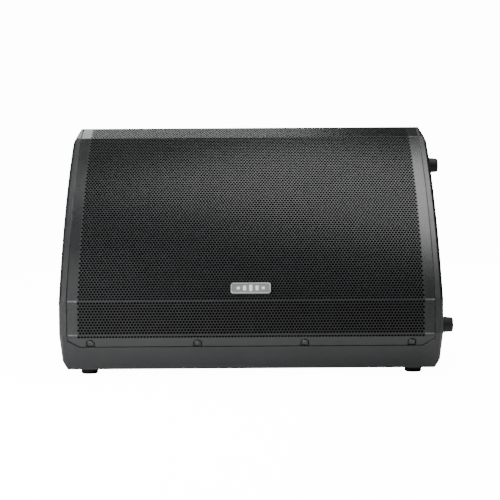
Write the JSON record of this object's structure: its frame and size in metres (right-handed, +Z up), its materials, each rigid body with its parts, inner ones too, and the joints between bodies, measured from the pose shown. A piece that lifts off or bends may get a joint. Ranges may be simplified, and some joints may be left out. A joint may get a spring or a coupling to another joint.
{
  "type": "stage monitor wedge",
  "caption": "Active two-way stage monitor wedge: moulded cabinet with a curved folded grille facing up at the performer, rubber feet, a pole socket, a carrying handle and a rear amplifier.",
  "frame": {"origin": "centre of the bounding box in X and Y, on the floor under the feet", "axes": "+X along the cabinet to its right-hand end with the end feet and the pole socket, +Y from the grille to the back, +Z up as it lies as a wedge"},
  "size_m": [0.634, 0.4039, 0.4054],
  "materials": {
    "moulded_plastic": "fine moulded grain",
    "seal_rubber": "matt",
    "grille_steel": "satin powder coat",
    "foam": "open-cell foam",
    "badge_metal": "satin, with a brighter rim",
    "foot_rubber": "matt",
    "cast_basket": "cast and painted black",
    "surround_cloth": "doped cloth",
    "cone_paper": "black pulp",
    "coil_wire": "copper winding",
    "spider_cloth": "phenolic-treated cloth",
    "plate_steel": "zinc plated",
    "ferrite": "ground ferrite",
    "horn_plastic": "satin",
    "diaphragm_metal": "thin formed sheet",
    "cover_plastic": "satin",
    "lining": "fibre wadding",
    "panel_paint": "fine texture paint",
    "sink_aluminium": "black anodised",
    "connector_plastic": "satin",
    "latch_metal": "satin",
    "pin_brass": "plated",
    "rocker_plastic": "glossy",
    "knob_plastic": "soft touch",
    "button_plastic": "satin",
    "lamp_lens": "tinted lens",
    "board": "solder mask",
    "can_plastic": "sleeved cans",
    "core_steel": "varnished",
    "spacer_brass": "turned",
    "lead_sheath": "flexible sheath",
    "cup_plastic": "satin",
    "black_screw": "black oxide"
  },
  "bodies": {
    "cabinet": {"acoustic_lining": "lining", "amp_board": "board", "amp_frame": "moulded_plastic", "amp_panel": "panel_paint", "amp_panel_screws": "black_screw", "badge": "badge_metal", "board_spacers": "spacer_brass", "button_switches": "connector_plastic", "capacitors": "can_plastic", "connector_pins": "pin_brass", "driver_screws": "black_screw", "enclosure_gasket": "seal_rubber", "end_feet": "foot_rubber", "end_fitting_screws": "black_screw", "floor_feet": "foot_rubber", "foot_screws": "black_screw", "front_moulding": "moulded_plastic", "grille": "grille_steel", "grille_foam": "foam", "grille_screws": "black_screw", "handle_bowl": "cup_plastic", "handle_grip": "cup_plastic", "heat_sink": "sink_aluminium", "hf_back_cover": "cover_plastic", "hf_magnet": "ferrite", "hf_top_plate": "plate_steel", "hf_yoke": "plate_steel", "horn": "horn_plastic", "indicator_lamps": "lamp_lens", "input_insert": "connector_plastic", "input_socket": "connector_plastic", "link_socket": "connector_plastic", "mains_inlet": "connector_plastic", "pole_cup": "cup_plastic", "port_tubes": "horn_plastic", "potentiometers": "plate_steel", "power_switch_frame": "connector_plastic", "rear_shell": "moulded_plastic", "shell_posts": "moulded_plastic", "shell_screws": "black_screw", "speaker_leads": "lead_sheath", "transformer": "core_steel", "woofer_back_plate": "plate_steel", "woofer_basket": "cast_basket", "woofer_gasket": "seal_rubber", "woofer_magnet": "ferrite", "woofer_spider": "spider_cloth", "woofer_surround": "surround_cloth", "woofer_top_plate": "plate_steel"},
    "cone": {"woofer_cone": "cone_paper", "woofer_dust_cap": "cone_paper", "woofer_voice_coil": "coil_wire"},
    "diaphragm": {"hf_diaphragm": "diaphragm_metal"},
    "level_knob": {"level_knob": "knob_plastic"},
    "bass_knob": {"bass_knob": "knob_plastic"},
    "treble_knob": {"treble_knob": "knob_plastic"},
    "voicing_button": {"voicing_button": "button_plastic"},
    "mic_level_button": {"mic_level_button": "button_plastic"},
    "power_rocker": {"power_rocker": "rocker_plastic"},
    "input_latch": {"input_latch": "latch_metal"}
  },
  "joints": [
    {"name": "cone_travel", "type": "slide", "parent": "cabinet", "child": "cone", "axis": [0, -0.7319, 0.6814], "range_m": [-0.005, 0.005], "stiffness_N_per_m": 2500},
    {"name": "diaphragm_travel", "type": "slide", "parent": "cabinet", "child": "diaphragm", "axis": [0, -0.7319, 0.6814], "range_m": [-0.0003, 0.0003], "stiffness_N_per_m": 4000},
    {"name": "level_knob_turn", "type": "hinge", "parent": "cabinet", "child": "level_knob", "pos_m": [-0.062, 0.13415, 0.23459], "axis": [0, 0.9597, 0.2809], "range_deg": [-150, 150]},
    {"name": "bass_knob_turn", "type": "hinge", "parent": "cabinet", "child": "bass_knob", "pos_m": [-0.094, 0.13415, 0.23459], "axis": [0, 0.9597, 0.2809], "range_deg": [-150, 150]},
    {"name": "treble_knob_turn", "type": "hinge", "parent": "cabinet", "child": "treble_knob", "pos_m": [-0.126, 0.13415, 0.23459], "axis": [0, 0.9597, 0.2809], "range_deg": [-150, 150]},
    {"name": "voicing_button_press", "type": "slide", "parent": "cabinet", "child": "voicing_button", "axis": [0, -0.9597, -0.2809], "range_m": [0, 0.0025], "stiffness_N_per_m": 500, "springref_m": -0.001},
    {"name": "mic_level_button_press", "type": "slide", "parent": "cabinet", "child": "mic_level_button", "axis": [0, -0.9597, -0.2809], "range_m": [0, 0.0025], "stiffness_N_per_m": 500, "springref_m": -0.001},
    {"name": "power_rocker_tip", "type": "hinge", "parent": "cabinet", "child": "power_rocker", "pos_m": [-0.106, 0.15896, 0.13557], "axis": [0, -0.2809, 0.9597], "range_deg": [-16, 0]},
    {"name": "input_latch_press", "type": "slide", "parent": "cabinet", "child": "input_latch", "axis": [0, -0.9597, -0.2809], "range_m": [0, 0.0015], "stiffness_N_per_m": 600, "springref_m": -0.001}
  ]
}
